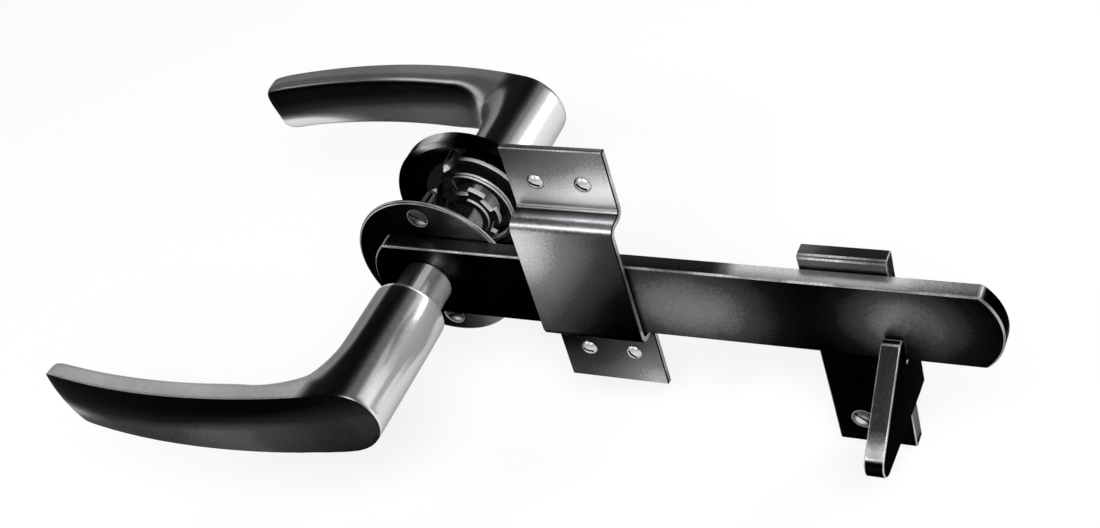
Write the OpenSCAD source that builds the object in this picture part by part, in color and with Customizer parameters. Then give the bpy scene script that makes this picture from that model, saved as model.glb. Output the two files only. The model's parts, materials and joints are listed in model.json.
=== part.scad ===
// Garden door latch: two lever handles on a square spindle lift a flat bar out of a hooked catch.
// Origin: on the spindle's axis, at the front face of the door.
// +X runs along the bar to the catch, +Y into the door, +Z up. Millimetres.

/* [Door] */
// Thickness of the door leaf between the two roses
door_t = 26; // [22:1:45]

/* [Spindle] */
// Side of the square spindle
spindle_sq = 8; // [7:0.5:9]
// Depth of the square socket in each lever
socket_depth = 24; // [18:1:30]
// Radius that is turned off each corner of the square
corner_cut = 0.25; // [0.1:0.05:0.5]

/* [Latch bar] */
// Height of the bar
bar_h = 25; // [20:0.5:30]
// Thickness of the bar
bar_t = 5.4; // [4:0.2:8]
// Length from the spindle to the catch end
bar_reach = 165.5; // [150:1:200]
// Length from the spindle to the handle end
bar_tail = 17; // [14:0.5:24]
// Radius of the two round ends
bar_end_r = 17; // [15.5:0.5:24]

/* [Roses] */
// Diameter of both roses
rose_d = 50; // [46:1:60]
// Thickness of the flat front rose
front_rose_t = 1.3; // [1.2:0.1:2.5]
// Height of the dished rear rose
rear_rose_t = 5; // [4.5:0.1:8]
// Thickness of the rear rose's floor
rear_floor_t = 1.5; // [1.3:0.1:2.5]
// Thickness of the rear rose's rim
rear_rim_t = 2.2; // [1.2:0.1:3]
// Bevel on the outer edge of both roses
rose_bevel = 0.5; // [0.2:0.1:0.9]
// Distance of the front rose's screws from the spindle
front_screw_r = 19; // [18.8:0.1:19.5]
// Distance of the rear rose's screws from the spindle
rear_screw_r = 20.2; // [19.8:0.1:20.5]

/* [Bushes and spring] */
// Wall of the front bush
front_bush_wall = 2.4; // [1.5:0.1:4]
// Depth of the front bush behind the rose
front_bush_l = 8; // [5:0.5:11]
// Wall of the rear bush
rear_bush_wall = 1.6; // [1:0.1:2]
// Diameter of the rear bush's flange
rear_flange_d = 33; // [28:0.2:33.6]
// Thickness of the rear bush's flange
flange_t = 1.6; // [1:0.1:2.2]
// Diameter of the spring wire
wire_d = 1.1; // [0.9:0.1:1.5]
// Mean radius of the spring's turns
spring_r = 12.8; // [11:0.1:13.4]
// Number of full turns of the spring
spring_turns = 2; // [1:1:3]
// Outer diameter of the notched spring driver
driver_d = 20; // [19:0.5:21]
// Thickness of the spring driver
driver_t = 1.8; // [1.5:0.1:3]
// Depth of the notches in the spring driver
notch_depth = 2.2; // [1.8:0.1:2.6]
// Width of a notch in the spring driver
notch_w = 4.6; // [4.2:0.1:5]
// Number of notches in the spring driver
notch_count = 6; // [4:1:7]
// Depth of the retaining clip's groove in the spindle's corners
clip_seat = 0.5; // [0.3:0.05:0.7]
// Thickness of the driver's retaining clip
clip_t = 1; // [0.8:0.1:1.5]
// Width of the retaining clip's ring
clip_w = 2; // [1.5:0.1:2.5]
// Angle of the gap in the retaining clip
clip_gap = 70; // [40:5:100]

/* [Levers] */
// Diameter of the round shank
shank_d = 22.2; // [18:0.2:24]
// Farthest reach of the grip's outer face from the shank's end
lever_reach = 51; // [46:0.5:60]
// Distance of the grip's tip from the spindle
grip_l = 101; // [85:1:120]
// Plan radius of the grip's outer face
grip_arc_r = 215; // [180:5:400]
// Distance from the spindle at which the grip reaches farthest
grip_peak = 52; // [40:1:60]
// Height of the grip at its tip
grip_h_tip = 18.2; // [14:0.2:20]
// Thickness of the grip at the elbow
grip_t_root = 9.2; // [7:0.2:11]
// Thickness of the grip at its tip
grip_t_tip = 7; // [5:0.2:8]
// Inner radius of the elbow
elbow_r = 19; // [12:0.5:20]
// Crown of the grip's outer face
grip_crown = 0.9; // [0.2:0.1:2]
// How far the tip sinks below the spindle's height
grip_droop = 3.6; // [0:0.2:6]
// How much farther the tip reaches at its top than at its bottom
tip_slant = 4; // [0:0.5:6]
// Rounding of the shank's end edge
rim_round = 1.2; // [0.4:0.1:2]
// Diameter of the round neck between a lever and its rose
neck_d = 15; // [14:0.2:17]
// Length of the collar between the bar and the front lever
front_collar_l = 12; // [10:0.5:18]
// Diameter of the collars' spigots, which are pressed into the shanks
spigot_d = 13; // [12.6:0.1:13.4]
// Length of the spigots
spigot_l = 9; // [5:0.5:14]
// Diameter of the set screw in the front collar
set_screw_d = 5; // [4:0.5:6]

/* [Guide bracket] */
// Width of the bracket along the bar
bracket_w = 30.6; // [24:0.2:40]
// Distance of the bracket's middle from the spindle
bracket_x = 49.9; // [46:0.1:60]
// Thickness of the bracket's sheet
bracket_t = 2; // [1.5:0.1:3]
// Inner bend radius of the sheet
bend_r = 1.5; // [0.5:0.1:1.6]
// Free height above the bar inside the bracket
lift_room = 12.7; // [12.7:0.1:16]
// Free height below the bar inside the bracket
low_room = 1.4; // [0.5:0.1:3]
// Length of the upper screw tab
tab_up = 20.6; // [16:0.2:28]
// Length of the lower screw tab
tab_low = 22.2; // [16:0.2:28]
// Spacing of the screws along the bar
bracket_screw_dx = 14; // [12:0.5:17]

/* [Catch] */
// Distance of the hook's middle from the bar's catch end
hook_inset = 28.9; // [24:0.1:36]
// Thickness of the hook
hook_w = 5.3; // [4:0.1:8]
// Width of the catch plate at its top
plate_w_top = 24; // [22:0.2:32]
// Width of the catch plate at its bottom
plate_w_bottom = 21.8; // [20:0.2:30]
// How far the hook stands past the plate's right edge
hook_overhang = 3.3; // [1:0.1:4]
// Thickness of the catch plate
plate_t = 5; // [4:0.1:8]
// Top of the catch plate above the spindle
plate_top = 16.4; // [15:0.2:24]
// Bottom of the catch plate below the spindle
plate_bottom = 52.6; // [48:0.2:64]
// Chamfer along the catch plate's upper front edge
plate_chamfer = 0.8; // [0.3:0.1:2]
// Height of the hook's nose above the bar's lower edge
nose_h = 8.4; // [5:0.2:10]
// Thickness of the nose at its top
nose_t = 2.6; // [1.5:0.1:4]
// Reach of the ramp's round tip in front of the bar
ramp_reach = 24.6; // [18:0.2:32]
// Drop of the ramp's round tip below the bar's lower edge
ramp_drop = 11.4; // [9:0.2:16]
// Radius of the ramp's round tip
tip_r = 4.2; // [3:0.1:5]
// Drop of the hook's underside below the bar's lower edge at the plate
under_drop = 18; // [16.5:0.1:24]
// Distance of the catch screws from the plate's left edge
catch_screw_x = 7.6; // [6:0.1:9]
// Height of the upper catch screw
catch_screw_up = 5.5; // [2:0.5:8]
// Depth of the lower catch screw
catch_screw_low = 43.6; // [40:0.2:46]

/* [Screws] */
// Diameter of the wood screws
screw_d = 3.5; // [3:0.1:3.8]
// How much thicker a screw's smooth neck is than its thread, on each side
neck_step = 0.2; // [0.1:0.05:0.3]
// Head diameter of the countersunk screws
csk_head_d = 6; // [5.6:0.1:6.1]
// Length of the rose and catch screws
csk_l = 13; // [9:0.5:13.5]
// Head diameter of the round-head screws
round_head_d = 6.4; // [5.6:0.1:8]
// Head height of the round-head screws
round_head_h = 1.9; // [1.4:0.1:2.4]
// Length of the round-head screws under the head
round_l = 13; // [9:0.5:16]
// Width of the screwdriver slots
slot_w = 1; // [0.7:0.1:1.3]
// Depth of the screwdriver slots
slot_depth = 0.7; // [0.4:0.1:0.9]

/* [Fits] */
// Gap between parts that move past each other
slide_gap = 0.3; // [0.25:0.05:0.4]
// Radial gap of a running fit
run_gap = 0.06; // [0.04:0.01:0.1]
// Gap on each side of a square or round seat
seat_gap = 0.05; // [0.02:0.01:0.1]

/* [Hidden] */
$fn = 64;
// Amount by which a cutting body passes the face that it cuts
over = 1;

// Depths along the spindle
bar_back = front_rose_t + slide_gap;
bar_front = bar_back + bar_t;
front_lever_y = -(bar_front + front_collar_l);
rear_lever_y = door_t + rear_rose_t + slide_gap;
rear_floor_y = door_t + rear_rose_t - rear_floor_t;
rear_flange_y = rear_floor_y - flange_t;
spring_pitch = wire_d + seat_gap;
spring_l = spring_pitch * spring_turns + wire_d;
driver_y = rear_flange_y - spring_l - 2 * slide_gap;

// Spindle and bores
socket_sq = spindle_sq + 2 * seat_gap;
spindle_turned_r = spindle_sq / sqrt(2) - corner_cut;
front_bore_r = spindle_turned_r + run_gap;
front_bush_r = front_bore_r + front_bush_wall;
rear_bore_r = neck_d / 2 + run_gap;
rear_bush_r = rear_bore_r + rear_bush_wall;
shank_r = shank_d / 2;

// Screws
screw_neck_r = screw_d / 2 + neck_step;
csk_cone_h = csk_head_d / 2 - screw_neck_r;

// Bracket heights, measured from the bar that it holds
bracket_depth = bar_front + slide_gap;
opening_top = bar_h / 2 + lift_room;
opening_bottom = -bar_h / 2 - low_room;
upper_screw_z = opening_top + (bracket_t + tab_up) / 2;
lower_screw_z = opening_bottom - (bracket_t + tab_low) / 2;

// Catch faces, measured from the bar that it holds
plate_front = -(bar_back - slide_gap);
plate_back = plate_front + plate_t;
notch_front = -(bar_front + slide_gap);
notch_floor = -bar_h / 2 - slide_gap;
hook_x = bar_reach - hook_inset;
hook_left = hook_x - hook_w / 2;
plate_right = hook_x + hook_w / 2 - hook_overhang;
plate_left = plate_right - plate_w_bottom;

// Lever loft
loft_sides = 32;
grip_squareness = 0.42;
elbow_x = -(shank_r + elbow_r);

// Depth of the grip's outer face at x
function outer(x) = lever_reach - grip_arc_r + sqrt(pow(grip_arc_r, 2) - pow(x + grip_peak, 2));
// Share of the way from the spindle to the tip
function along(x) = min(1, max(0, -x / grip_l));
function mix(a, b, u) = a + (b - a) * u;
function half_h(x) = mix(shank_r, grip_h_tip / 2, along(x));
function thick(x) = mix(grip_t_root, grip_t_tip, along(x));
function sink(x) = grip_droop * pow(along(x), 2);
elbow_y = outer(elbow_x) - thick(elbow_x) - elbow_r;
corner_angle = atan2(outer(0) - elbow_y, shank_r + elbow_r);

// A ring of the square socket at depth d
function square_ring(d) = [for (a = loft_angles)
    let (r = socket_sq / 2 / max(abs(cos(a)), abs(sin(a)))) [r * cos(a), -d, r * sin(a)]];
// A ring of the round shank at depth d
function round_ring(d, r) = [for (a = loft_angles) [r * cos(a), -d, r * sin(a)]];
// A point of the inner half: from the ridge towards the inner line, with a rounder or squarer section
function inner_point(a, ridge, inside, h, p) = let (
    plan = ridge + pow(max(0, -cos(a)), p) * (inside - ridge))
    [plan[0], -plan[1], h * sign(sin(a)) * pow(abs(sin(a)), p)];
// A ring of the elbow that climbs the shank up to the crisp outer edge, at u = 1
function climb_ring(u) = let (
    t = atan(u * tan(corner_angle)),
    ridge = [0, mix(elbow_y, outer(0), u)],
    inside = [elbow_x, elbow_y] + elbow_r * [cos(t), sin(t)],
    p = mix(1, grip_squareness, t / 90))
    [for (a = loft_angles) cos(a) > 0 ?
        let (x = shank_r * cos(a), edge = outer(x) + grip_crown * pow(cos(a), 2))
        [x, -mix(elbow_y, edge, u), shank_r * sin(a)] :
        inner_point(a, ridge, inside, shank_r, p)];
// A ring whose outer half lies on the outer face, with its ridge at x
function face_ring(x, shrink = 1, slant = 0) = let (
    ridge = [x, outer(x)],
    bending = x > elbow_x,
    t = bending ? atan2(outer(x) - elbow_y, x - elbow_x) : 90,
    inside = bending ? [elbow_x, elbow_y] + elbow_r * [cos(t), sin(t)] : [x, outer(x) - thick(x)],
    p = mix(1, grip_squareness, t / 90),
    h = half_h(x),
    spread = bending ? shank_r * pow(1 - x / elbow_x, 2) : 0,
    middle = [x, -(outer(x) - thick(x) / 2), 0])
    [for (a = loft_angles) let (
        xo = x + spread * cos(a),
        q = cos(a) > 0 ? [xo, -(outer(xo) + grip_crown * pow(cos(a), 2)), h * sin(a)] :
            inner_point(a, ridge, inside, h, p),
        small = middle + shrink * (q - middle))
        small + [slant * (h - small[2]) / (2 * h), 0, -sink(x)]];

loft_angles = [for (i = [0 : loft_sides - 1]) 360 * i / loft_sides];
climb_steps = 5;
face_steps = 7;
grip_steps = 9;
tip_l = 9;
tip_start = tip_l - grip_l;
// Share of the tip's slant that the grip has where the tip starts
early_slant = 0.25;
// Each tip ring: distance before the tip, size and share of the slant
tip_rings = [[6, 0.995, 0.55], [3, 0.975, 0.85], [1.2, 0.92, 1], [0.3, 0.82, 1], [0, 0.66, 1]];
lever_rings = concat(
    [square_ring(socket_depth), square_ring(spigot_l)],
    [for (d = [spigot_l, 0]) round_ring(d, (spigot_d / 2 + seat_gap) / cos(180 / loft_sides))],
    [for (b = [0, 30, 60, 90]) round_ring(rim_round * (1 - cos(b)), shank_r - rim_round * (1 - sin(b)))],
    [for (k = [0 : climb_steps]) climb_ring(k / climb_steps)],
    [for (k = [1 : face_steps]) face_ring(elbow_x * k / face_steps)],
    [for (k = [1 : grip_steps]) let (u = k / grip_steps)
        face_ring(mix(elbow_x, tip_start, u), 1, tip_slant * early_slant * pow(u, 4))],
    [for (r = tip_rings) face_ring(-(grip_l - r[0]), r[1], tip_slant * r[2])]);

// Middle of a ring's box
function middle_of(ring) = [for (i = [0 : 2]) let (c = [for (p = ring) p[i]]) (max(c) + min(c)) / 2];

// A closed skin over rings that all have the same number of points, each end closed by a fan
module skin(rings) {
    n = len(rings[0]);
    m = len(rings);
    points = concat([for (ring = rings) each ring], [middle_of(rings[0]), middle_of(rings[m - 1])]);
    sides = [for (i = [0 : m - 2], j = [0 : n - 1]) let (
        a = i * n + j,
        b = i * n + (j + 1) % n)
        each [[a, b, b + n], [a, b + n, a + n]]];
    caps = [for (j = [0 : n - 1]) let (k = (j + 1) % n)
        each [[m * n, k, j], [m * n + 1, (m - 1) * n + j, (m - 1) * n + k]]];
    polyhedron(points, concat(sides, caps), convexity = 10);
}

// A cylinder along +Y that starts at y
module rod(r, l, y = 0) {
    translate([0, y, 0]) rotate([-90, 0, 0]) cylinder(r = r, h = l);
}

// A square bar along +Y that starts at y
module square_rod(side, l, y = 0) {
    translate([-side / 2, y, -side / 2]) cube([side, l, side]);
}

// A lever with its shank's end at y = 0 and its grip in front of it, towards -Y
module lever() {
    skin(lever_rings);
}

// A collar that starts at y = 0 and runs l towards +Y, with a spigot towards -Y and a square hole
module collar(l) {
    difference() {
        union() {
            rod(neck_d / 2, l);
            rod(spigot_d / 2, spigot_l, -spigot_l);
        }
        square_rod(socket_sq, l + spigot_l + 2 * over, -spigot_l - over);
    }
}

// A screwdriver slot through a head of diameter d whose top is at y = 0
module slot(d) {
    translate([-d / 2 - over, -over, -slot_w / 2]) cube([d + 2 * over, slot_depth + over, slot_w]);
}

// The shank of a wood screw from y = start: a smooth neck up to y = grip, then the thread to y = l
module screw_shank(start, grip, l) {
    point_l = screw_d;
    blunt_r = screw_d / 12;
    rod(screw_neck_r, grip - start, start);
    rod(screw_d / 2, l - point_l - grip, grip);
    translate([0, l - point_l, 0]) rotate([-90, 0, 0])
        cylinder(r1 = screw_d / 2, r2 = blunt_r, h = point_l);
}

// A countersunk slotted screw whose head lies flush with y = 0 and whose thread starts at y = grip
module csk_screw(grip) {
    difference() {
        union() {
            rotate([-90, 0, 0]) cylinder(r1 = csk_head_d / 2, r2 = screw_neck_r, h = csk_cone_h);
            screw_shank(csk_cone_h, grip, csk_l);
        }
        slot(csk_head_d);
    }
}

// The hole for a countersunk screw, in a wall of any thickness
module csk_hole() {
    hole_r = screw_neck_r + seat_gap;
    rod(hole_r, csk_l, -over);
    translate([0, -seat_gap, 0]) rotate([-90, 0, 0])
        cylinder(r1 = csk_head_d / 2 + 2 * seat_gap, r2 = hole_r, h = csk_cone_h + seat_gap);
}

// A round-head slotted screw whose head sits on y = 0 and whose thread starts at y = grip
module round_screw(grip) {
    ball_r = (pow(round_head_d / 2, 2) + pow(round_head_h, 2)) / (2 * round_head_h);
    difference() {
        union() {
            intersection() {
                translate([0, ball_r - round_head_h, 0]) sphere(r = ball_r);
                rod(round_head_d, round_head_h, -round_head_h);
            }
            screw_shank(0, grip, round_l);
        }
        translate([0, -round_head_h, 0]) slot(round_head_d);
    }
}

// Two places above and below the spindle, at distance r
module above_and_below(r) {
    for (side = [-1, 1]) translate([0, 0, side * r]) children();
}

// The four places of the bracket screws
module at_bracket_screws() {
    for (x = [-1, 1], z = [lower_screw_z, upper_screw_z])
        translate([bracket_x + x * bracket_screw_dx / 2, 0, z]) children();
}

// The two places of the catch screws
module at_catch_screws() {
    for (z = [-catch_screw_low, catch_screw_up])
        translate([plate_left + catch_screw_x, plate_front, z]) children();
}

module front_lever() {
    color("#2b2b2d") translate([0, front_lever_y, 0]) lever();
}

module rear_lever() {
    color("#2b2b2d") translate([0, rear_lever_y, 0]) mirror([0, 1, 0]) lever();
}

module spindle() {
    start = front_lever_y - socket_depth + slide_gap;
    l = rear_lever_y + socket_depth - slide_gap - start;
    color("#8d8f92") intersection() {
        square_rod(spindle_sq, l, start);
        difference() {
            rod(spindle_turned_r, l, start);
            difference() {
                rod(spindle_sq, clip_t + 2 * seat_gap, clip_y - seat_gap);
                rod(groove_r, clip_t + 4 * seat_gap, clip_y - 2 * seat_gap);
            }
        }
    }
}

// Place of the set screw, half way along the front collar's free length
module at_set_screw() {
    translate([0, front_lever_y + front_collar_l / 2, 0]) children();
}

module front_collar() {
    color("#c9cbcd") difference() {
        translate([0, front_lever_y, 0]) collar(front_collar_l);
        at_set_screw() translate([0, 0, -neck_d])
            cylinder(d = set_screw_d + 2 * seat_gap, h = neck_d);
    }
}

module rear_collar() {
    color("#c9cbcd") translate([0, rear_lever_y, 0]) mirror([0, 1, 0]) collar(rear_lever_y - driver_y);
}

module latch_bar() {
    sagitta = bar_end_r - sqrt(pow(bar_end_r, 2) - pow(bar_h / 2, 2));
    color("#1d1d1f") difference() {
        translate([0, -bar_back, 0]) rotate([90, 0, 0]) linear_extrude(bar_t) union() {
            translate([-bar_tail + sagitta, -bar_h / 2]) square([bar_tail + bar_reach - 2 * sagitta, bar_h]);
            intersection() {
                union() {
                    translate([-bar_tail + bar_end_r, 0]) circle(r = bar_end_r);
                    translate([bar_reach - bar_end_r, 0]) circle(r = bar_end_r);
                }
                translate([-bar_tail - over, -bar_h / 2]) square([bar_tail + bar_reach + 2 * over, bar_h]);
            }
        }
        square_rod(socket_sq, bar_t + 2 * over, -bar_front - over);
    }
}

// A grub screw that presses on the spindle from below, with a hexagon socket
module set_screw() {
    top = -spindle_sq / 2;
    l = neck_d / 2 + top - seat_gap;
    color("#55575a") at_set_screw() translate([0, 0, top - l]) difference() {
        cylinder(d = set_screw_d, h = l);
        translate([0, 0, -over]) cylinder(d = set_screw_d / 2, h = l / 2 + over, $fn = 6);
    }
}

// Radius of the bottom of the driver's notches
notch_floor_r = driver_d / 2 - notch_depth;

module spring_driver() {
    color("#d4d5d7") difference() {
        rod(driver_d / 2, driver_t, driver_y - driver_t);
        square_rod(socket_sq, driver_t + 2 * over, driver_y - driver_t - over);
        for (i = [0 : notch_count - 1]) rotate([0, 360 * i / notch_count, 0])
            translate([-notch_w / 2, driver_y - driver_t - over, notch_floor_r])
                cube([notch_w, driver_t + 2 * over, driver_d]);
    }
}

// Groove in the spindle's corners for the clip
clip_y = driver_y - driver_t - clip_t;
groove_r = spindle_turned_r - clip_seat;

module driver_clip() {
    color("#d4d5d7") difference() {
        rod(groove_r + seat_gap + clip_w, clip_t, clip_y);
        rod(groove_r + seat_gap, clip_t + 2 * over, clip_y - over);
        rotate([0, 180 + clip_gap / 2, 0]) translate([0, clip_y - over, 0]) rotate([-90, 0, 0])
            rotate_extrude(angle = clip_gap) square([neck_d, clip_t + 2 * over]);
    }
}

module front_rose() {
    color("#19191a") difference() {
        rotate([90, 0, 0]) rotate_extrude() polygon([
            [front_bush_r + seat_gap, 0],
            [rose_d / 2, 0],
            [rose_d / 2, front_rose_t - rose_bevel],
            [rose_d / 2 - rose_bevel, front_rose_t],
            [front_bush_r + seat_gap, front_rose_t]]);
        above_and_below(front_screw_r) translate([0, -front_rose_t, 0]) csk_hole();
    }
}

module front_bush() {
    color("#b08d4a") difference() {
        rod(front_bush_r, front_rose_t + front_bush_l, -front_rose_t);
        rod(front_bore_r, front_rose_t + front_bush_l + 2 * over, -front_rose_t - over);
    }
}

// Place of the spring's fixed leg in the rear bush's flange
anchor_angle = 118;
module spring_anchor() {
    rotate([0, -anchor_angle, 0]) translate([spring_r, 0, 0]) children();
}

module rear_rose() {
    color("#19191a") difference() {
        translate([0, door_t, 0]) rotate([-90, 0, 0]) rotate_extrude() polygon([
            [rose_d / 2 - rear_rim_t, 0],
            [rose_d / 2, 0],
            [rose_d / 2, rear_rose_t - rose_bevel],
            [rose_d / 2 - rose_bevel, rear_rose_t],
            [rear_bush_r + seat_gap, rear_rose_t],
            [rear_bush_r + seat_gap, rear_rose_t - rear_floor_t],
            [rose_d / 2 - rear_rim_t, rear_rose_t - rear_floor_t]]);
        above_and_below(rear_screw_r) translate([0, door_t + rear_rose_t, 0]) mirror([0, 1, 0]) csk_hole();
    }
}

module rear_bush() {
    color("#cfcfc8") difference() {
        union() {
            rod(rear_flange_d / 2, flange_t, rear_flange_y);
            rod(rear_bush_r, rear_floor_t + flange_t, rear_flange_y);
        }
        rod(rear_bore_r, rear_floor_t + flange_t + 2 * over, rear_flange_y - over);
        spring_anchor() rod(wire_d / 2 + seat_gap, flange_t + 2 * over, rear_flange_y - over);
    }
}

// Path of the spring: fixed leg in the flange, turns, then a leg bent into a notch of the driver
spring_start_y = rear_flange_y - slide_gap - wire_d / 2;
spring_end_y = spring_start_y - spring_pitch * spring_turns;
leg_y = driver_y - driver_t / 2;
leg_angle = 90 + asin((notch_w / 2 - wire_d / 2 - slide_gap) / notch_floor_r);
turn_sweep = 360 * spring_turns - (anchor_angle - leg_angle);
turn_steps = 20 * spring_turns;
spring_path = concat(
    [[spring_r, anchor_angle, rear_flange_y + flange_t / 2]],
    [for (i = [0 : turn_steps]) let (u = i / turn_steps)
        [spring_r, anchor_angle + turn_sweep * u, mix(spring_start_y, spring_end_y, u)]],
    [[spring_r, leg_angle, leg_y], [notch_floor_r + wire_d, leg_angle, leg_y]]);
wire_sides = 8;

// Point of the spring's path from radius, angle and depth
function polar(p) = [p[0] * cos(p[1]), p[2], p[0] * sin(p[1])];
function unit(v) = v / norm(v);

// A round wire swept along a path of points
module wire(path, r) {
    last = len(path) - 1;
    rings = [for (i = [0 : last]) let (
        ahead = unit(path[min(last, i + 1)] - path[max(0, i - 1)]),
        out = unit([path[i][0], 0, path[i][2]]),
        side = unit(cross(ahead, abs(ahead * out) > 0.9 ? [0, 1, 0] : out)),
        up = cross(side, ahead))
        [for (k = [0 : wire_sides - 1]) let (b = 360 * k / wire_sides)
            path[i] + r * (cos(b) * side + sin(b) * up)]];
    skin(rings);
}

module return_spring() {
    color("#d4d5d7") wire([for (p = spring_path) polar(p)], wire_d / 2);
}

module front_rose_screws() {
    color("#b9bbbd") above_and_below(front_screw_r) translate([0, -front_rose_t, 0])
        csk_screw(front_rose_t);
}

module rear_rose_screws() {
    color("#b9bbbd") above_and_below(rear_screw_r) translate([0, door_t + rear_rose_t, 0])
        mirror([0, 1, 0]) csk_screw(rear_rose_t);
}

// A quarter bend of the sheet round the point [0, 0], in the quadrant given by its signs
module bend(sy, sz) {
    intersection() {
        difference() {
            circle(r = bend_r + bracket_t);
            circle(r = bend_r);
        }
        scale([sy, sz]) square(bend_r + bracket_t);
    }
}

// Half of the bracket's section from the middle of its raised face to the end of one tab,
// with the opening's edge at z = 0 and the tab towards +z
module bracket_half(tab, face) {
    outer_r = bend_r + bracket_t;
    raised = -bracket_depth;
    translate([raised - bracket_t, -face]) square([bracket_t, face - bend_r]);
    translate([raised + bend_r, -bend_r]) bend(-1, 1);
    translate([raised + bend_r, 0]) square([bracket_depth - bend_r - outer_r, bracket_t]);
    translate([-outer_r, outer_r]) bend(1, -1);
    translate([-bracket_t, outer_r]) square([bracket_t, tab - outer_r + bracket_t]);
}

module guide_bracket() {
    face = (opening_top - opening_bottom) / 2;
    middle = (opening_top + opening_bottom) / 2;
    color("#3a3a3c") difference() {
        translate([bracket_x - bracket_w / 2, 0, middle]) rotate([90, 0, 90]) linear_extrude(bracket_w) {
            translate([0, face]) bracket_half(tab_up, face);
            mirror([0, 1]) translate([0, face]) bracket_half(tab_low, face);
        }
        at_bracket_screws() rod(screw_neck_r + seat_gap, bracket_t + 2 * over, -bracket_t - over);
    }
}

module bracket_screws() {
    color("#c9cbcd") at_bracket_screws() translate([0, -bracket_t, 0]) round_screw(bracket_t);
}

// Point where a line from p touches a circle, on its left (side 1) or right (side -1)
function tangent_point(p, centre, r, side) = let (
    d = norm(centre - p),
    a = atan2(centre[1] - p[1], centre[0] - p[0]) + side * asin(r / d),
    l = sqrt(d * d - r * r))
    p + l * [cos(a), sin(a)];

// Section of the hook through the bar's notch, in Y and Z
module hook_section() {
    bar_bottom = -bar_h / 2;
    nose_top = bar_bottom + nose_h;
    nose = [notch_front - nose_t, nose_top];
    tip = [notch_front - ramp_reach, bar_bottom - ramp_drop];
    root = [plate_front, bar_bottom - under_drop];
    polygon([
        [plate_back, notch_floor],
        [notch_front, notch_floor],
        [notch_front, nose_top - nose_t / 4],
        [notch_front - nose_t / 4, nose_top],
        nose,
        tangent_point(nose, tip, tip_r, -1),
        tip,
        tangent_point(root, tip, tip_r, 1),
        root,
        [plate_back, root[1]]]);
    translate(tip) circle(r = tip_r);
}

module catch() {
    color("#232325") difference() {
        union() {
            translate([0, plate_back, 0]) rotate([90, 0, 0]) linear_extrude(plate_t) polygon([
                [plate_left, -plate_bottom],
                [plate_right, -plate_bottom],
                [plate_right, plate_top],
                [plate_right - plate_w_top, plate_top]]);
            translate([hook_left, 0, 0]) rotate([90, 0, 90]) linear_extrude(hook_w) hook_section();
        }
        translate([plate_right + over, plate_front, plate_top]) rotate([0, -90, 0])
            linear_extrude(plate_w_top + 2 * over)
                polygon([[over, -over], [over, plate_chamfer], [0, plate_chamfer], [-plate_chamfer, 0],
                    [-plate_chamfer, -over]]);
        at_catch_screws() csk_hole();
    }
}

module catch_screws() {
    color("#c9cbcd") at_catch_screws() csk_screw(plate_t);
}

front_lever();
rear_lever();
spindle();
front_collar();
rear_collar();
latch_bar();
set_screw();
spring_driver();
driver_clip();
front_rose();
front_bush();
rear_rose();
rear_bush();
return_spring();
front_rose_screws();
rear_rose_screws();
guide_bracket();
bracket_screws();
catch();
catch_screws();
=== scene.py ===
import json
import math

import bmesh
import bpy
from mathutils import Matrix, Vector


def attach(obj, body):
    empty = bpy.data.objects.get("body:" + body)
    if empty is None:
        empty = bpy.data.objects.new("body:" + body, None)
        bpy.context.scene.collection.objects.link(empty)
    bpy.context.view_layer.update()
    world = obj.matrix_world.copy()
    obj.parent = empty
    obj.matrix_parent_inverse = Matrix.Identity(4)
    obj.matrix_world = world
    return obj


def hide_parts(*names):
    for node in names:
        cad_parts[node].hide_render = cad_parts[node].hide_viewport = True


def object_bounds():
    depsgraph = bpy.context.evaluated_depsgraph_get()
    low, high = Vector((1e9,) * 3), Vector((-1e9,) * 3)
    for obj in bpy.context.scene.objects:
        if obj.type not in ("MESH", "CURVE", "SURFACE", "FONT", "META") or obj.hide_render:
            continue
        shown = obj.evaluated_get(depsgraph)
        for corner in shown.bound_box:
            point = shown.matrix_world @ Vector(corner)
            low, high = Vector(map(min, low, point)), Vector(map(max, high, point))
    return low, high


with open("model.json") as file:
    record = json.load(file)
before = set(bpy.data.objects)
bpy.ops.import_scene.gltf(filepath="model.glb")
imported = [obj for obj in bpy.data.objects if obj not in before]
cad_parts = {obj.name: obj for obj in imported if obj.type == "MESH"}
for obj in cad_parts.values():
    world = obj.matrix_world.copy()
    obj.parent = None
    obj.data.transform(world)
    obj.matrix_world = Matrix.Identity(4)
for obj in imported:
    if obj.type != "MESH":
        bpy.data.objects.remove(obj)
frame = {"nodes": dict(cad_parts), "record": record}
cad_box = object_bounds()
scene = bpy.context.scene
scene.view_settings.view_transform = "Standard"
BODY_OF = {node: body for body, nodes in frame["record"]["behaviour"]["bodies"].items() for node in nodes}


# Shader helpers
COOL = 1.02


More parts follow.
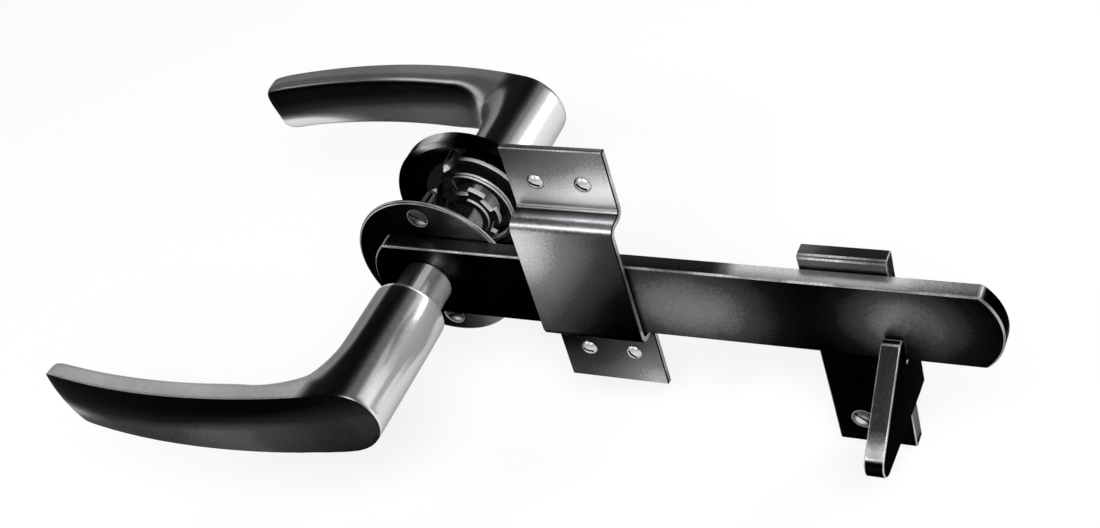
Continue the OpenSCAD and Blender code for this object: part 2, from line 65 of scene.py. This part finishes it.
class Nodes:
    """A node tree, with short ways to add nodes and join them."""

    def __init__(self, tree):
        self.tree = tree

    def node(self, kind, **settings):
        made = self.tree.nodes.new(kind)
        for key, value in settings.items():
            setattr(made, key, value)
        return made

    def join(self, source, target):
        if isinstance(source, (int, float, tuple)):
            target.default_value = source
        else:
            self.tree.links.new(source, target)

    def math(self, operation, a, b=0.0):
        made = self.node("ShaderNodeMath", operation=operation)
        self.join(a, made.inputs[0])
        self.join(b, made.inputs[1])
        return made.outputs[0]

    def total(self, values):
        result = values[0]
        for value in values[1:]:
            result = self.math("ADD", result, value)
        return result

    def blend(self, share, a, b):
        made = self.node("ShaderNodeMix")
        for source, index in ((share, 0), (a, 2), (b, 3)):
            self.join(source, made.inputs[index])
        return made.outputs[0]

    def spread(self, value, low, high, start=0.0, end=1.0):
        """Runs smoothly from start to end as the value goes from low to high."""
        made = self.node("ShaderNodeMapRange", interpolation_type="SMOOTHSTEP")
        self.join(value, made.inputs["Value"])
        for key, number in (("From Min", low), ("From Max", high), ("To Min", start), ("To Max", end)):
            made.inputs[key].default_value = number
        return made.outputs["Result"]

    def vector(self, operation, a, b, output=0):
        made = self.node("ShaderNodeVectorMath", operation=operation)
        self.join(a, made.inputs[0])
        self.join(b, made.inputs[1])
        return made.outputs[output]

    def parts(self, vector):
        made = self.node("ShaderNodeSeparateXYZ")
        self.join(vector, made.inputs[0])
        return made.outputs

    def rays(self, *names):
        """1 for rays of these kinds, 0 for the others."""
        path = self.node("ShaderNodeLightPath")
        return self.math("MINIMUM", self.total([path.outputs[name] for name in names]), 1.0)


class Shader(Nodes):
    """A material, with places and normals in the object's own frame."""

    def __init__(self, name):
        self.material = bpy.data.materials.new(name)
        self.material.use_nodes = True
        super().__init__(self.material.node_tree)
        self.surface = self.tree.nodes["Principled BSDF"]
        coords = self.node("ShaderNodeTexCoord")
        self.place = coords.outputs["Object"]
        self.x, self.y, self.z = self.parts(self.place)
        self.nx, self.ny, self.nz = self.parts(coords.outputs["Normal"])

    def noise(self, scale, detail=2.0, rough=0.5):
        made = self.node("ShaderNodeTexNoise")
        made.inputs["Scale"].default_value = scale
        made.inputs["Detail"].default_value = detail
        made.inputs["Roughness"].default_value = rough
        self.join(self.place, made.inputs["Vector"])
        return made.outputs["Fac"]

    def patch(self, centre, reach, gain):
        """A soft patch round a point, gain in its middle and 0 outside; reach is a radius per axis."""
        away = self.vector("DIVIDE", self.vector("SUBTRACT", self.place, centre), reach)
        distance = self.vector("LENGTH", away, (0.0, 0.0, 0.0), 1)
        return self.spread(distance, 0.0, 1.0, gain, 0.0)

    def ramp(self, value, stops):
        """Greys that lean a little towards blue."""
        made = self.node("ShaderNodeValToRGB")
        points = made.color_ramp.elements
        while len(points) < len(stops):
            points.new(0.5)
        for point, (where, tone) in zip(points, stops):
            point.position = where
            point.color = (tone, tone, tone * COOL, 1.0)
        self.join(value, made.inputs["Fac"])
        return made.outputs["Color"]

    def bump(self, height, strength, distance):
        made = self.node("ShaderNodeBump")
        made.inputs["Strength"].default_value = strength
        made.inputs["Distance"].default_value = distance
        self.join(height, made.inputs["Height"])
        self.join(made.outputs["Normal"], self.surface.inputs["Normal"])


# Brightness of the tones, from 0, the darkest of a finish, to 1, its lightest
BLACKS = [(0.0, 0.0015), (0.25, 0.009), (0.5, 0.05), (0.75, 0.2), (1.0, 0.62)]
PALE_BLACKS = BLACKS[:-1] + [(1.0, 0.88)]
LEVER_STOPS = [(0.0, 0.002), (0.3, 0.02), (0.5, 0.07), (0.75, 0.25), (1.0, 0.85)]
# Edge wear, with painted highlights
EDGE_WEAR_AND_HIGHLIGHT_STOPS = [(0.0, 0.08), (0.5, 0.38), (1.0, 0.8)]
COLLAR_STOPS = [(0.0, 0.008), (0.5, 0.22), (1.0, 0.85)]
SPRING_STOPS = [(0.0, 0.003), (0.1, 0.01), (0.5, 0.3), (1.0, 0.95)]
SCREW_STOPS = [(0.0, 0.02), (0.4, 0.2), (0.75, 0.65), (1.0, 0.82)]


# Metals
COARSE_GRAIN = 1500.0
FINE_GRAIN = 900.0
GRAIN_DEPTH = 0.0003
NOISE_MEAN = 0.5
PLATEAU = 0.6


def metal(name, tones, stops=BLACKS, rough=(0.28, 0.38), metallic=1.0, ior=1.5, rim=0.2, cloud=0.05,
          cloud_scale=30.0, grain=0.035, grain_scale=COARSE_GRAIN, bump=0.05):
    """A metal whose tone follows its place on the object and its surface's direction, which for most
    materials here is painted light and shade, with faint clouds and fine grain.

    rim is the share of light that its reflections keep at flat angles.
    """
    s = Shader(name)
    clouds = s.spread(s.noise(cloud_scale, 3.0), 0.3, 0.7, -cloud, cloud)
    fine = s.noise(grain_scale, rough=0.6)
    specks = s.spread(fine, 0.25, 0.75, -grain, grain)
    s.join(s.ramp(s.total([clouds, specks] + tones(s)), stops), s.surface.inputs["Base Color"])
    s.join(s.spread(fine, 0.2, 0.8, rough[0], rough[1]), s.surface.inputs["Roughness"])
    s.surface.inputs["Metallic"].default_value = metallic
    s.surface.inputs["IOR"].default_value = ior
    s.surface.inputs["Specular Tint"].default_value = (rim, rim, rim, 1.0)
    s.bump(fine, bump, GRAIN_DEPTH)
    return s.material


# Tones by place on the object, in metres, and by the surface's direction; most are painted light and shade
def bell(s, value, centre, reach, gain):
    """gain where the value is near the centre, 0 further away than reach."""
    away = s.math("ABSOLUTE", s.math("SUBTRACT", value, centre))
    return s.spread(away, PLATEAU * reach, reach, gain, 0.0)


def painted_face_reflection(s):
    """Painted reflection: black upper half, grey lower half, and painted highlights at the tip and along the
    rear grip's lower edge.
    """
    height = s.math("SUBTRACT", s.z, s.math("MULTIPLY", s.x, 0.1))
    along = s.spread(s.x, -0.03, 0.004, 1.0, 0.6)
    lower = s.math("MULTIPLY", s.spread(height, 0.001, 0.0095, 0.54, 0.0), along)
    return s.total([lower, s.patch((-0.1, -0.06, -0.006), (0.026, 0.03, 0.007), 0.6),
                    s.patch((-0.092, 0.07, -0.0095), (0.036, 0.03, 0.005), 0.7)])


def lever_face_painted_light(s):
    """The grips' outer faces, in painted reflection."""
    return [painted_face_reflection(s)]


def lever_side_painted_light(s):
    """Painted light: rounded sides painted light, a shank with painted dark and light reflection stripes and
    painted highlights at its ends, a painted glint along the inner face's edge near the bend, and the flat
    face towards the door in the outer faces' painted reflection.
    """
    outward = s.math("MULTIPLY", s.ny, s.math("SIGN", s.y))
    inner_face = s.spread(outward, -0.9, -0.7, 1.0, 0.0)
    grip = s.spread(s.y, -0.01, 0.01, 0.82, 0.62)
    painted_shank_stripes = [s.spread(s.nx, -0.24, -0.06, 0.74, 0.06), s.spread(s.nx, 0.2, 0.5, 0.0, 0.58),
               s.spread(s.nx, 0.6, 0.92, 0.0, 0.42)]
    painted_end_highlights = [bell(s, s.y, end, 0.0012, 0.5) for end in (-0.0195, 0.0318)]
    shank = s.total(painted_shank_stripes + painted_end_highlights)
    side = s.blend(s.spread(s.x, -0.01, -0.004), grip, shank)
    from_edge = s.math("ABSOLUTE", s.math("ADD", outward, 0.64))
    painted_glint = s.math("MULTIPLY", s.spread(from_edge, 0.0, 0.24, 0.36, 0.0), s.spread(s.x, -0.07, -0.04))
    return [s.blend(inner_face, s.math("ADD", side, painted_glint), painted_face_reflection(s))]


def bar_painted_light(s):
    """Painted light: black at the spindle, two painted grey reflections on the front and a top painted
    lighter towards the catch.
    """
    front = s.total([s.patch((0.08, -0.007, -0.001), (0.042, 0.03, 0.03), 0.76),
                     s.patch((0.141, -0.007, 0.001), (0.03, 0.03, 0.024), 0.74),
                     s.patch((0.006, -0.007, 0.008), (0.012, 0.03, 0.01), 0.6)])
    top = s.total([s.spread(s.x, 0.087, 0.097, 0.34, 0.88),
                   s.patch((0.128, -0.004, 0.0125), (0.02, 0.01, 0.01), 0.16),
                   s.spread(s.x, 0.135, 0.165, 0.0, -0.1), s.spread(s.x, 0.01, 0.05, 0.24, 0.0)])
    return [s.blend(s.spread(s.nz, 0.6, 0.9), front, top)]


def bracket_painted_light(s):
    """Painted light and shade: from light at the upper left to black at the lower right, tabs painted
    lighter, and painted shade along the crease above the jog and on the jog beside it.
    """
    right = s.spread(s.x, 0.032, 0.068)
    up = s.spread(s.z, -0.02, 0.028)
    raised = s.total([0.46, s.math("MULTIPLY", right, -0.52), s.math("MULTIPLY", up, 0.53)])
    upper = s.total([0.92, s.math("MULTIPLY", right, 0.2), s.spread(s.z, 0.028, 0.048, 0.0, -0.36),
                     bell(s, s.z, 0.0276, 0.0004, -0.3)])
    jog = s.total([s.spread(s.y, -0.006, -0.0035, 0.8, 0.42), s.math("MULTIPLY", right, 0.1)])
    above = s.blend(s.spread(s.z, 0.0272, 0.0276), jog, upper)
    lower = s.total([0.2, s.math("MULTIPLY", right, 0.34), s.spread(s.z, -0.038, -0.02, 0.32, 0.0)])
    high = s.blend(s.spread(s.z, 0.0245, 0.0262), raised, above)
    return [s.blend(s.spread(s.z, -0.0185, -0.0165), lower, high)]


def rose_painted_light(s):
    """Black, painted lighter on the front rose's right, with a painted highlight on the rear rose's rim."""
    painted_rim_highlight = s.patch((-0.009, 0.0285, 0.0235), (0.014, 0.01, 0.007), 1.3)
    front = s.spread(s.y, 0.01, 0.015, 1.0, 0.0)
    return [s.math("MULTIPLY", front, s.spread(s.x, -0.01, 0.024, 0.1, 0.8)), painted_rim_highlight]


def catch_painted_light(s):
    """A black plate whose right side is painted light near its lower end, a block on top painted grey in
    light and shade, and a hook whose ramp is painted light.
    """
    painted_block_light = s.blend(s.spread(s.nz, 0.5, 0.9), 0.6, s.spread(s.x, 0.112, 0.125, 0.6, 0.4))
    between = s.spread(s.math("ABSOLUTE", s.nx), 0.3, 0.6, 1.0, 0.0)
    ramp = s.math("MULTIPLY", s.spread(s.nz, 0.55, 0.8), s.spread(s.z, -0.0205, -0.016, 1.0, 0.4))
    painted_ramp_light = s.math("MULTIPLY", s.math("MULTIPLY", between, ramp), s.spread(s.y, -0.01, -0.007, 1.0, 0.0))
    plate_side = s.math("MULTIPLY", s.spread(s.nx, 0.7, 0.95), s.spread(s.y, -0.0012, -0.0006))
    painted_side_light = s.math("MULTIPLY", plate_side, bell(s, s.z, -0.044, 0.009, 0.72))
    return [s.blend(s.spread(s.z, 0.008, 0.01), s.total([0.04, painted_ramp_light, painted_side_light]), painted_block_light)]


def spring_tones(s):
    """Dark on the left and bright on the right, where light reaches in between the roses."""
    rim = s.spread(s.math("ABSOLUTE", s.ny), 0.5, 0.9, 1.0, 0.04)
    return [s.math("MULTIPLY", s.spread(s.x, -0.004, 0.005, 0.04, 1.0), rim)]


def screw_painted_light(s):
    """Bright round heads on the bracket with painted shade on their left and their flanks, and dark flat
    heads on the catch with a painted glint.
    """
    left = s.spread(s.nx, -0.55, -0.25, -0.7, 0.0)
    painted_flank_shade = s.spread(s.math("ABSOLUTE", s.ny), 0.35, 0.65, -0.55, 0.0)
    heads = s.math("MULTIPLY", painted_flank_shade, s.spread(s.y, -0.001, 0.0, 1.0, 0.0))
    on_bracket = s.total([left, heads, s.spread(s.y, -0.0005, 0.006, 0.85, 0.3)])
    painted_glints = [s.patch((0.1212, 0.0, z), (0.0027, 0.01, 0.0026), 1.5) for z in (0.005, -0.0441)]
    return [s.blend(s.spread(s.x, 0.09, 0.1), on_bracket, s.total([0.15] + painted_glints))]


def rose_screw_painted_light(s):
    """Dark heads and dull threads, with painted light on the heads' rims, most on the rear ones, a painted
    glint on each front head and points painted bright.
    """
    heads = s.total([bell(s, s.y, -0.001, 0.002, 0.2), bell(s, s.y, 0.031, 0.002, 0.7)])
    painted_glints = [s.patch((0.0007, -0.001, z), (0.0024, 0.004, 0.0014), 0.8) for z in (0.0173, -0.0205)]
    rim = s.spread(s.math("ABSOLUTE", s.ny), 0.85, 0.98, 1.0, 0.12)
    points = s.total([bell(s, s.y, 0.0117, 0.0025, 0.9), bell(s, s.y, 0.018, 0.0025, 0.9)])
    return [0.02, s.math("MULTIPLY", heads, rim), points] + painted_glints


def collar_painted_light(s):
    """Painted light: black on the left, a painted light stripe beside it, then grey up to a right edge
    painted light.
    """
    painted_stripe = bell(s, s.nx, 0.4, 0.16, 0.35)
    return [s.spread(s.nx, 0.1, 0.32, 0.02, 0.5), painted_stripe, s.spread(s.nx, 0.78, 0.97, 0.0, 0.4)]


def even(tone):
    """One tone all over, with clouds of its own."""
    return lambda s: [s.math("ADD", s.noise(90.0), tone - NOISE_MEAN)]


# The levers' materials, with painted reflections, highlights and shade on their sides and outer faces
lever_sides, lever_faces = (
    metal(name, tones, LEVER_STOPS, rough=(0.15, 0.23), metallic=0.5, ior=ior, rim=rim, cloud=0.03,
          grain=0.015, grain_scale=FINE_GRAIN, bump=0.012)
    for name, tones, ior, rim in (("lever_sides", lever_side_painted_light, 1.15, 0.3),
                                  ("lever_faces", lever_face_painted_light, 1.06, 0.1)))
bar_black = metal("bar_black", bar_painted_light, PALE_BLACKS)
bracket_black = metal("bracket_black", bracket_painted_light, PALE_BLACKS)
rose_black = metal("rose_black", rose_painted_light)
catch_black = metal("catch_black", catch_painted_light)
dark_edge = metal("dark_edge", even(0.15))
# Edges lighter for wear, and painted as highlights
wear_and_highlight_edge = metal("wear_and_highlight_edge", even(0.5), EDGE_WEAR_AND_HIGHLIGHT_STOPS, rough=(0.2, 0.32), metallic=0.4, cloud=0.35,
                  cloud_scale=70.0)
collar_steel = metal("collar_steel", collar_painted_light, COLLAR_STOPS, rough=(0.25, 0.32), metallic=0.4,
                     grain=0.01, grain_scale=FINE_GRAIN, bump=0.005)
spring_steel = metal("spring_steel", spring_tones, SPRING_STOPS, rough=(0.2, 0.3), metallic=0.2, ior=1.2,
                     cloud=0.02, grain=0.02, grain_scale=FINE_GRAIN, bump=0.01)
bush_dark = metal("bush_dark", even(0.2))
# Painted shade inside the screws' slots
slot_shade = metal("slot_shade", even(0.1))
screw_steel, rose_screw_steel = (
    metal(name, tones, SCREW_STOPS, rough=(0.3, 0.4), metallic=0.6, cloud=0.08, cloud_scale=160.0,
          grain=0.06, bump=0.03)
    for name, tones in (("screw_steel", screw_painted_light), ("rose_screw_steel", rose_screw_painted_light)))


# Pieces that refine a CAD node
SAME_POINT = 2e-6
SAME_PLANE = math.radians(0.5)
# How far a unit normal points along an axis
LEANING = 0.15
OUTWARD = 0.6
FACING = 0.98
SQUARE_ON = 0.9995


def open_mesh(node):
    """The node's mesh with its points joined."""
    bm = bmesh.new()
    bm.from_mesh(frame["nodes"][node].data)
    bmesh.ops.remove_doubles(bm, verts=bm.verts, dist=SAME_POINT)
    return bm


def turns(edge, degrees):
    """True where the faces at an edge turn by more than this."""
    return len(edge.link_faces) == 2 and edge.calc_face_angle() > math.radians(degrees)


def piece(node, bm, materials):
    """A new piece from this mesh that rides on the node's body and stands for the node."""
    mesh = bpy.data.meshes.new(node + "_shaped")
    bm.to_mesh(mesh)
    bm.free()
    if "custom_normal" in mesh.attributes:
        mesh.attributes.remove(mesh.attributes["custom_normal"])
    for material in materials:
        mesh.materials.append(material)
    mesh.polygons.foreach_set("use_smooth", [True] * len(mesh.polygons))
    made = bpy.data.objects.new(node + "_shaped", mesh)
    scene.collection.objects.link(made)
    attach(made, BODY_OF[node])
    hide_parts(node)
    return made


def edged(node, material, width, edge=None, segments=1, angle=28.0, cut_sides=None):
    """The node with its sharp edges broken, and the narrow faces there in a material of their own where edge
    is given, lighter for wear and painted as highlights.

    cut_sides is the material of the narrow faces beside a sheet's cut sides, which take the edge material.
    """
    bm = open_mesh(node)
    bmesh.ops.dissolve_limit(bm, angle_limit=SAME_PLANE, verts=bm.verts, edges=bm.edges)
    sharp = [e for e in bm.edges if turns(e, angle)]
    bmesh.ops.bevel(bm, geom=sharp, offset=width, offset_type="OFFSET", segments=segments, profile=0.5,
                    affect="EDGES", clamp_overlap=False, material=1 if edge else -1)
    bm.normal_update()
    if cut_sides:
        for face in bm.faces:
            aside = abs(face.normal.x)
            if aside > LEANING:
                face.material_index = 1 if aside > FACING else 2
    made = piece(node, bm, [m for m in (material, edge, cut_sides) if m])
    made.data.polygons.foreach_set("use_smooth", [p.material_index == 0 for p in made.data.polygons])
    even_normals = made.modifiers.new("even_normals", "WEIGHTED_NORMAL")
    even_normals.mode = "FACE_AREA"
    even_normals.weight = 80
    return made


# Screws; the bracket's have these shares of the CAD heads' width and height
HEAD_WIDTH = 0.8
HEAD_HEIGHT = 0.7
SCREW_EDGE = 0.00012
SLOT_REACH = 0.0012
SLOT_STEP = 0.0001
NECK = 0.0019
HAIR = 0.00001


def settle(made, degrees, seat=None):
    """Turns each screw about its own axis; the angles go from top to bottom and from left to right.

    seat is where round heads lie on their plate along Y; those are made narrower and lower.
    """
    bm = bmesh.new()
    bm.from_mesh(made.data)
    waiting = set(bm.verts)
    screws = []
    while waiting:
        screw = [waiting.pop()]
        for v in screw:
            beside = {e.other_vert(v) for e in v.link_edges} & waiting
            screw.extend(beside)
            waiting -= beside
        across = [v.co.x for v in screw]
        upright = [v.co.z for v in screw]
        axis = Vector(((min(across) + max(across)) / 2, 0.0, (min(upright) + max(upright)) / 2))
        screws.append((axis, screw))
    screws.sort(key=lambda found: (-round(found[0].z, 4), found[0].x))
    for (axis, screw), angle in zip(screws, degrees):
        turn = Matrix.Rotation(math.radians(angle), 3, "Y")
        bmesh.ops.rotate(bm, cent=axis, matrix=turn, verts=screw)
        if seat is None:
            continue
        for v in screw:
            out = Vector((v.co.x - axis.x, 0.0, v.co.z - axis.z))
            ahead = seat - v.co.y
            if ahead > HAIR or (ahead > -HAIR and out.length > NECK):
                v.co = axis + out * HEAD_WIDTH + Vector((0.0, seat - ahead * HEAD_HEIGHT, 0.0))
    bm.to_mesh(made.data)
    bm.free()


def slotted(node, material, inward, degrees, seat=None):
    """Screws with painted shade in their slots; inward is the sign of the screws' direction along Y."""
    made = edged(node, material, SCREW_EDGE, segments=2, angle=40.0)
    made.data.materials.append(slot_shade)
    walls = [p for p in made.data.polygons if abs(p.normal.z) > FACING]
    for p in made.data.polygons:
        if abs(p.normal.y) > SQUARE_ON:
            near = [w for w in walls if (w.center - p.center).length < SLOT_REACH]
            if any(inward * (p.center.y - w.center.y) > SLOT_STEP for w in near):
                p.material_index = 1
    for w in walls:
        w.material_index = 1
    settle(made, degrees, seat)


def swept(node, material, crease, levels, angle=35.0, flat=None, grow=0.0):
    """The node's facets as a smooth skin that keeps its ridges; flat is the material of its outer face.

    grow moves the points outwards by what the smoothing takes away.
    """
    bm = open_mesh(node)
    diagonals = []
    taken = set()
    for e in sorted(bm.edges, key=lambda e: -e.calc_length()):
        faces = [f for f in e.link_faces if f not in taken]
        if len(faces) == 2 and all(e == max(f.edges, key=lambda side: side.calc_length()) for f in faces):
            diagonals.append(e)
            taken.update(faces)
    bmesh.ops.dissolve_edges(bm, edges=diagonals, use_verts=False)
    bm.normal_update()
    layer = bm.edges.layers.float.get("crease_edge") or bm.edges.layers.float.new("crease_edge")
    for e in bm.edges:
        if turns(e, angle):
            e[layer] = crease
    if flat:
        for f in bm.faces:
            away = f.normal.y * f.calc_center_median().y > 0.0
            f.material_index = int(away and abs(f.normal.y) > OUTWARD)
    for v in bm.verts:
        v.co += v.normal * grow
    made = piece(node, bm, [m for m in (material, flat) if m])
    skin = made.modifiers.new("skin", "SUBSURF")
    skin.levels = levels
    skin.render_levels = levels


# The object's nodes
# The levers' outer faces take lever_faces, with its painted reflection
for node in ("front_lever", "rear_lever"):
    swept(node, lever_sides, crease=0.75, levels=2, flat=lever_faces)
swept("return_spring", spring_steel, crease=0.0, levels=1, angle=80.0, grow=0.00003)
# These parts' bevel strips are lighter for wear and painted as highlights
edged("latch_bar", bar_black, width=0.0005, edge=wear_and_highlight_edge)
edged("guide_bracket", bracket_black, width=0.0003, edge=wear_and_highlight_edge, cut_sides=dark_edge)
edged("catch", catch_black, width=0.00035, edge=wear_and_highlight_edge)
edged("front_rose", rose_black, width=0.0002, edge=wear_and_highlight_edge)
edged("rear_rose", rose_black, width=0.0002, segments=2)
for node in ("front_collar", "rear_collar"):
    edged(node, collar_steel, width=0.0004, segments=2)
for node in ("spring_driver", "driver_clip"):
    edged(node, spring_steel, width=0.0002, segments=2)
edged("front_bush", bush_dark, width=0.0003, segments=2)
edged("rear_bush", spring_steel, width=0.0003, segments=2)
slotted("bracket_screws", screw_steel, inward=1.0, degrees=(24.0, 34.0, 22.0, 48.0), seat=-0.002)
slotted("catch_screws", screw_steel, inward=1.0, degrees=(15.0, 40.0))
slotted("front_rose_screws", rose_screw_steel, inward=1.0, degrees=(30.0, -25.0))
slotted("rear_rose_screws", rose_screw_steel, inward=-1.0, degrees=(10.0, 65.0))
# The spindle and set screw take the collar's painted light
for node in ("spindle", "set_screw"):
    slots = frame["nodes"][node].data.materials
    slots.clear()
    slots.append(collar_steel)


# Camera, as the photograph was taken
RIGHT = Vector((0.89424, 0.37400, -0.24588))
DOWN = Vector((0.07899, -0.67259, -0.73579))
AHEAD = Vector((-0.44057, 0.63855, -0.63099))
EYE = Vector((0.25679, -0.31768, 0.31822))
FOCAL_PIXELS = 1773.95
PHOTO_PIXELS = 1100.0
SENSOR = 36.0
camera = bpy.data.cameras.new("camera")
camera.sensor_fit = "HORIZONTAL"
camera.sensor_width = SENSOR
camera.lens = FOCAL_PIXELS / PHOTO_PIXELS * SENSOR
camera.clip_start = 0.01
camera_object = bpy.data.objects.new("camera", camera)
axes = Matrix((RIGHT, -DOWN, -AHEAD)).transposed().to_4x4()
camera_object.matrix_world = Matrix.Translation(EYE) @ axes
scene.collection.objects.link(camera_object)
scene.camera = camera_object


# White floor that keeps the object's shadow
FLOOR_GLOW = 0.75
FLOOR_GAP = 0.004
FLOOR_HALF = 4.0
floor_shader = Shader("floor")
floor_shader.surface.inputs["Base Color"].default_value = (0.3, 0.3, 0.3, 1.0)
floor_shader.surface.inputs["Roughness"].default_value = 0.9
floor_shader.surface.inputs["Specular IOR Level"].default_value = 0.0
floor_shader.surface.inputs["Emission Color"].default_value = (1.0, 1.0, 1.0, 1.0)
seen = floor_shader.rays("Is Camera Ray", "Is Glossy Ray", "Is Transmission Ray")
glow = floor_shader.math("MULTIPLY", seen, FLOOR_GLOW)
floor_shader.join(glow, floor_shader.surface.inputs["Emission Strength"])
level = cad_box[0].z - FLOOR_GAP
corners = [(x * FLOOR_HALF, y * FLOOR_HALF, level) for x, y in ((-1, -1), (1, -1), (1, 1), (-1, 1))]
floor_mesh = bpy.data.meshes.new("floor")
floor_mesh.from_pydata(corners, [], [(0, 1, 2, 3)])
floor_mesh.materials.append(floor_shader.material)
floor = bpy.data.objects.new("floor", floor_mesh)
scene.collection.objects.link(floor)


# World, white to the camera; reflections show a white sweep behind the object and a dark studio elsewhere
WORLD_LIGHT = 0.28
DARK_STUDIO = 0.15
SWEEP = (0.0, 0.75, -0.66)
world = bpy.data.worlds.new("world")
world.use_nodes = True
scene.world = world
sky = Nodes(world.node_tree)
direction = sky.node("ShaderNodeTexCoord").outputs["Generated"]
sweep = sky.spread(sky.vector("DOT_PRODUCT", direction, SWEEP, 1), -0.05, 0.07, DARK_STUDIO, 1.0)
mirrored = sky.blend(sky.rays("Is Camera Ray"), sweep, 1.0)
strength = sky.blend(sky.rays("Is Camera Ray", "Is Glossy Ray", "Is Transmission Ray"), WORLD_LIGHT, mirrored)
background = sky.tree.nodes["Background"]
sky.join(strength, background.inputs["Strength"])
background.inputs["Color"].default_value = (1.0, 1.0, 1.0, 1.0)


# Softboxes, which point at the object's middle
TARGET = Vector((0.03, 0.005, 0.0))
DISTANCE = 1.2


def softbox(name, direction, width, height, radiance):
    """A rectangular lamp in this direction from the object."""
    lamp = bpy.data.lights.new(name, "AREA")
    lamp.shape = "RECTANGLE"
    lamp.size = width
    lamp.size_y = height
    lamp.energy = radiance * math.pi * width * height
    made = bpy.data.objects.new(name, lamp)
    towards = Vector(direction).normalized()
    made.location = TARGET + towards * DISTANCE
    made.rotation_mode = "QUATERNION"
    made.rotation_quaternion = towards.to_track_quat("Z", "Y")
    made.visible_camera = False
    scene.collection.objects.link(made)


softbox("right_box", (0.596, 0.71, 0.375), 0.5, 0.9, 3.5)
softbox("front_box", (-0.44, -0.6, 0.62), 0.4, 0.35, 6.0)
softbox("key_box", (0.4, -0.55, 0.73), 0.6, 0.6, 8.0)
